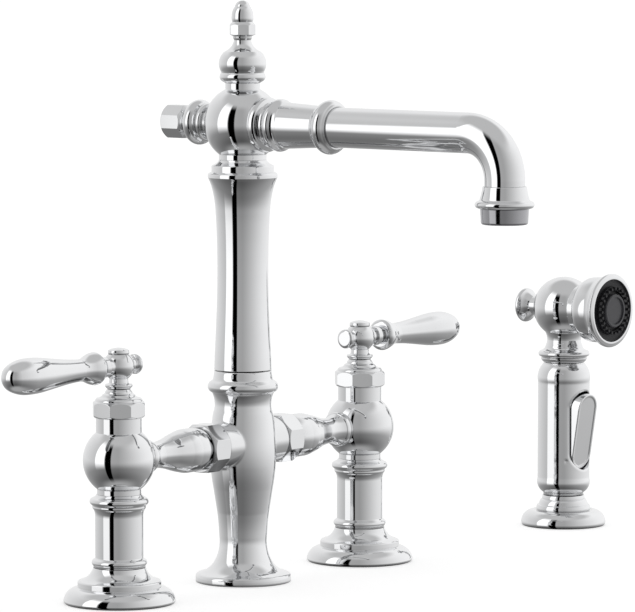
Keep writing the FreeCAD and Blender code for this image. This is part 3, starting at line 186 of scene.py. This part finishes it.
def studio_angles(nodes, x, y, z):
    """Return how far round a direction lies, in radians, and its height in degrees."""
    sine = math.sin(CAMERA_HEADING)
    cosine = math.cos(CAMERA_HEADING)
    east = nodes.math("MULTIPLY", x, cosine)
    north = nodes.math("MULTIPLY", y, sine)
    right = nodes.math("SUBTRACT", east, north)
    east = nodes.math("MULTIPLY", x, -sine)
    north = nodes.math("MULTIPLY", y, -cosine)
    near = nodes.math("ADD", east, north)
    height = nodes.math("MULTIPLY", nodes.math("ARCSINE", z), 180 / math.pi)
    return nodes.math("ARCTAN2", right, near), height


def wall_level(nodes, around):
    """Brightness of the walls: dim round the camera, with a key light from the right."""
    front = nodes.math("MULTIPLY", nodes.math("COSINE", around), WALL_FRONT_DIM)
    facing = nodes.math("MAXIMUM", nodes.math("SINE", around), 0.0)
    key = nodes.math("MULTIPLY", facing, KEY_LEVEL)
    return nodes.math("ADD", nodes.math("SUBTRACT", key, front), WALL_LEVEL)


def panel(nodes, turn, start, end):
    """Return 1 on an upright panel between two angles and 0 beside it."""
    opens = nodes.slope(turn, start - PANEL_EDGE, start + PANEL_EDGE)
    closes = nodes.slope(turn, end + PANEL_EDGE, end - PANEL_EDGE)
    return nodes.math("MULTIPLY", opens, closes)


FLOOR_HALF = 40.0
FLOOR_DROP = 0.0002
FLOOR_LEVEL = 0.75
FLOOR_ROUGHNESS = 0.9
FLOOR_GLOW = 0.55


def add_floor():
    """Pale floor under and behind the part, which the metal doesn't mirror."""
    mesh = bpy.data.meshes.new("floor")
    half = FLOOR_HALF
    corners = [(-half, -half, 0), (half, -half, 0), (half, half, 0), (-half, half, 0)]
    mesh.from_pydata(corners, [], [(0, 1, 2, 3)])
    floor = bpy.data.objects.new("floor", mesh)
    floor.location.z = -FLOOR_DROP
    floor.visible_glossy = False
    bpy.context.scene.collection.objects.link(floor)
    material = bpy.data.materials.new("pale_floor")
    material.use_nodes = True
    shader = material.node_tree.nodes["Principled BSDF"]
    shader.inputs["Base Color"].default_value = grey(FLOOR_LEVEL)
    shader.inputs["Roughness"].default_value = FLOOR_ROUGHNESS
    shader.inputs["Specular IOR Level"].default_value = 0.0
    shader.inputs["Emission Color"].default_value = grey(1.0)
    shader.inputs["Emission Strength"].default_value = FLOOR_GLOW
    mesh.materials.append(material)


# Painted shade that darkens the metal's colour in tight corners: how far it reaches, and the
# share of open air below which the painted shade is darkest and above which the metal is clear
CORNER_SHADE_REACH = 0.003
CORNER_SHADE_DARKEST = 0.30
CORNER_SHADE_CLEAR = 0.75
CORNER_SHADE_LEVEL = 0.22
CORNER_SHADE_SAMPLES = 8
EDGE_SAMPLES = 16

# Mottling: the darkest share of the colour, and the depth of a plastic's grain
METAL_LOW = 0.97
METAL_DETAIL = 3.0
PLASTIC_LOW = 0.85
GRAIN_STRENGTH = 0.05
GRAIN_DEPTH = 0.0002

CHROME = (0.86, 0.865, 0.875)

# Finishes. A metal's row holds its name, colour, least and most roughness, scale of mottling,
# and the radius over which the light runs smoothly round an edge, 0 for none. A plastic's row
# holds its name, colour, roughness and scale of grain.
METALS = {
    "chrome": ("polished_chrome", CHROME, 0.03, 0.05, 90, 0.0003),
    "soft": ("flowing_chrome", CHROME, 0.03, 0.05, 90, 0.002),
    "key": ("rounded_chrome", CHROME, 0.03, 0.05, 90, 0.0012),
    # Painted shade: near-black brass for the gaps beside turning pieces, where only shade shows
    "shaded": ("painted_shade_brass", (0.030, 0.028, 0.026), 0.4, 0.5, 150, 0.0),
    "aerator": ("aerator_chrome", (0.48, 0.48, 0.50), 0.08, 0.14, 120, 0.0),
    "brass": ("machined_brass", (0.72, 0.55, 0.28), 0.22, 0.34, 150, 0.0),
    "steel": ("machined_steel", (0.58, 0.58, 0.60), 0.22, 0.32, 150, 0.0),
}
PLASTICS = {
    "rubber": ("black_rubber", (0.035, 0.035, 0.035), 0.75, 400),
    "face": ("spray_face_plastic", (0.010, 0.010, 0.012), 0.5, 500),
    "face_centre": ("spray_centre_plastic", (0.045, 0.045, 0.05), 0.35, 500),
}

# Nodes whose finish isn't that of their slot. Brass that shows only down in the gaps beside a
# turning piece is coloured near black as painted shade, the post and the spray's handle flow
# without a crease, and the trigger's rim is rounded over.
FINISH_OF = {
    "swivel_spigot": "shaded",
    "left_stem": "shaded",
    "right_stem": "shaded",
    "post_body": "soft",
    "spray_handle": "soft",
    "trigger": "key",
}


def mottled(name, colour, low, scale):
    """Start a material whose colour varies a little between colour * low and colour."""
    material = bpy.data.materials.new(name)
    material.use_nodes = True
    nodes = Nodes(material.node_tree)
    output = nodes.add("ShaderNodeOutputMaterial")
    shader = nodes.add("ShaderNodeBsdfPrincipled")
    nodes.link(shader.outputs[0], output.inputs["Surface"])
    coordinates = nodes.add("ShaderNodeTexCoord")
    noise = nodes.add("ShaderNodeTexNoise")
    noise.inputs["Scale"].default_value = scale
    nodes.link(coordinates.outputs["Object"], noise.inputs["Vector"])
    darker = [level * low for level in colour]
    tint = nodes.mix(noise.outputs["Fac"], (*darker, 1.0), (*colour, 1.0))
    return material, nodes, shader, noise, tint


def metal(name, colour, rough_low, rough_high, scale, edge):
    """Metal whose polish varies a little over its surface, with painted shade darkening its
    colour in tight corners.
    """
    material, nodes, shader, noise, tint = mottled(name, colour, METAL_LOW, scale)
    noise.inputs["Detail"].default_value = METAL_DETAIL
    shader.inputs["Metallic"].default_value = 1.0
    roughness = nodes.add("ShaderNodeMapRange")
    roughness.inputs["To Min"].default_value = rough_low
    roughness.inputs["To Max"].default_value = rough_high
    nodes.link(noise.outputs["Fac"], roughness.inputs["Value"])
    nodes.link(roughness.outputs["Result"], shader.inputs["Roughness"])
    # Painted shade: the metal's colour is darkened where ambient occlusion finds tight corners
    corners = nodes.add("ShaderNodeAmbientOcclusion", samples=CORNER_SHADE_SAMPLES)
    corners.inputs["Distance"].default_value = CORNER_SHADE_REACH
    unshaded_share = nodes.slope(corners.outputs["AO"], CORNER_SHADE_DARKEST, CORNER_SHADE_CLEAR)
    painted_corner_shade = [level * CORNER_SHADE_LEVEL for level in colour]
    shade = nodes.mix(unshaded_share, (*painted_corner_shade, 1.0), tint)
    nodes.link(shade, shader.inputs["Base Color"])
    if edge:
        bevel = nodes.add("ShaderNodeBevel", samples=EDGE_SAMPLES)
        bevel.inputs["Radius"].default_value = edge
        nodes.link(bevel.outputs["Normal"], shader.inputs["Normal"])
    return material


def plastic(name, colour, rough, scale):
    """Plastic or rubber with a fine grain."""
    material, nodes, shader, noise, tint = mottled(name, colour, PLASTIC_LOW, scale)
    shader.inputs["Roughness"].default_value = rough
    nodes.link(tint, shader.inputs["Base Color"])
    bump = nodes.add("ShaderNodeBump")
    bump.inputs["Strength"].default_value = GRAIN_STRENGTH
    bump.inputs["Distance"].default_value = GRAIN_DEPTH
    nodes.link(noise.outputs["Fac"], bump.inputs["Height"])
    nodes.link(bump.outputs["Normal"], shader.inputs["Normal"])
    return material


def dress():
    """Give every CAD node its finish, and return the finishes."""
    finishes = {slot: metal(*row) for slot, row in METALS.items()}
    finishes.update({slot: plastic(*row) for slot, row in PLASTICS.items()})
    for entry in frame["record"]["subparts"]:
        node = bpy.data.objects[entry["node"]]
        material = finishes[FINISH_OF.get(entry["node"], entry["material_slot"])]
        if not node.data.materials:
            node.data.materials.append(material)
        for place in node.material_slots:
            place.material = material
    return finishes


# The spout's column from its foot up: (height, radius) in millimetres. The body flows in one
# curve, the runs above it meet at sharp edges, and the bore follows the solid's.
COLUMN_FOOT = 115.6
COLUMN_RUNS = (
    (
        (0, 15.6), (5, 15.45), (20, 14.75), (38, 14.05), (59.4, 13.85), (75, 14.2),
        (84, 14.65), (90, 15.15), (95, 15.95), (99, 16.9), (102, 17.95), (104.1, 18.9),
    ),
    ((104.1, 18.9), (105.5, 18.9)),
    ((105.5, 18.9), (106.3, 18.6), (106.7, 17.9)),
    ((106.7, 17.9), (107.1, 16.9)),
    ((107.1, 16.9), (110.0, 16.9)),
    ((110.0, 16.9), (110.7, 16.6), (111.0, 15.9)),
    ((111.0, 15.9), (112.0, 14.1), (113.7, 12.95)),
    ((113.7, 12.95), (113.7, 8.0)),
    ((113.7, 8.0), (16.1, 8.0)),
    ((16.1, 8.0), (16.1, 11.0)),
    ((16.1, 11.0), (0, 11.0)),
    ((0, 11.0), (0, 15.6)),
)
COLUMN_SEGMENTS = 120
CURVE_STEPS = 6
MILLIMETRES = 1000


def flowing(points):
    """Run a smooth curve through (height, radius) points whose heights rise."""
    if len(points) == 2:
        return list(points)
    pairs = list(zip(points, points[1:]))
    gaps = [high[0] - low[0] for low, high in pairs]
    slopes = [(high[1] - low[1]) / gap for (low, high), gap in zip(pairs, gaps)]
    leans = [slopes[0]]
    for low, high, before, after in zip(slopes, slopes[1:], gaps, gaps[1:]):
        leans.append((low * after + high * before) / (before + after))
    leans.append(slopes[-1])
    curve = []
    for index, (low, high) in enumerate(pairs):
        gap = gaps[index]
        for step in range(CURVE_STEPS):
            t = step / CURVE_STEPS
            radius = (
                low[1] * (2 * t ** 3 - 3 * t ** 2 + 1)
                + high[1] * (3 * t ** 2 - 2 * t ** 3)
                + leans[index] * gap * (t ** 3 - 2 * t ** 2 + t)
                + leans[index + 1] * gap * (t ** 3 - t ** 2)
            )
            curve.append((low[0] + gap * t, radius))
    curve.append(points[-1])
    return curve


def add_column(finish):
    """Column of the spout with the flowing flare that its solid has in short arcs."""
    vertices = []
    faces = []
    for run in COLUMN_RUNS:
        rings = flowing(run)
        first = len(vertices)
        for height, radius in rings:
            for segment in range(COLUMN_SEGMENTS):
                angle = 2 * math.pi * segment / COLUMN_SEGMENTS
                point = (radius * math.cos(angle), radius * math.sin(angle), COLUMN_FOOT + height)
                vertices.append([value / MILLIMETRES for value in point])
        for ring in range(len(rings) - 1):
            low = first + ring * COLUMN_SEGMENTS
            high = low + COLUMN_SEGMENTS
            for segment in range(COLUMN_SEGMENTS):
                beside = (segment + 1) % COLUMN_SEGMENTS
                faces.append((low + segment, low + beside, high + beside, high + segment))
    mesh = bpy.data.meshes.new("flowing_column")
    mesh.from_pydata(vertices, [], faces)
    for polygon in mesh.polygons:
        polygon.use_smooth = True
    mesh.materials.append(finish)
    column = bpy.data.objects.new("flowing_column", mesh)
    bpy.context.scene.collection.objects.link(column)
    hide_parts("spout_column")
    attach(column, "spout")


add_camera()
add_world()
add_floor()
add_column(dress()["chrome"])
bpy.context.scene.view_settings.view_transform = "Standard"
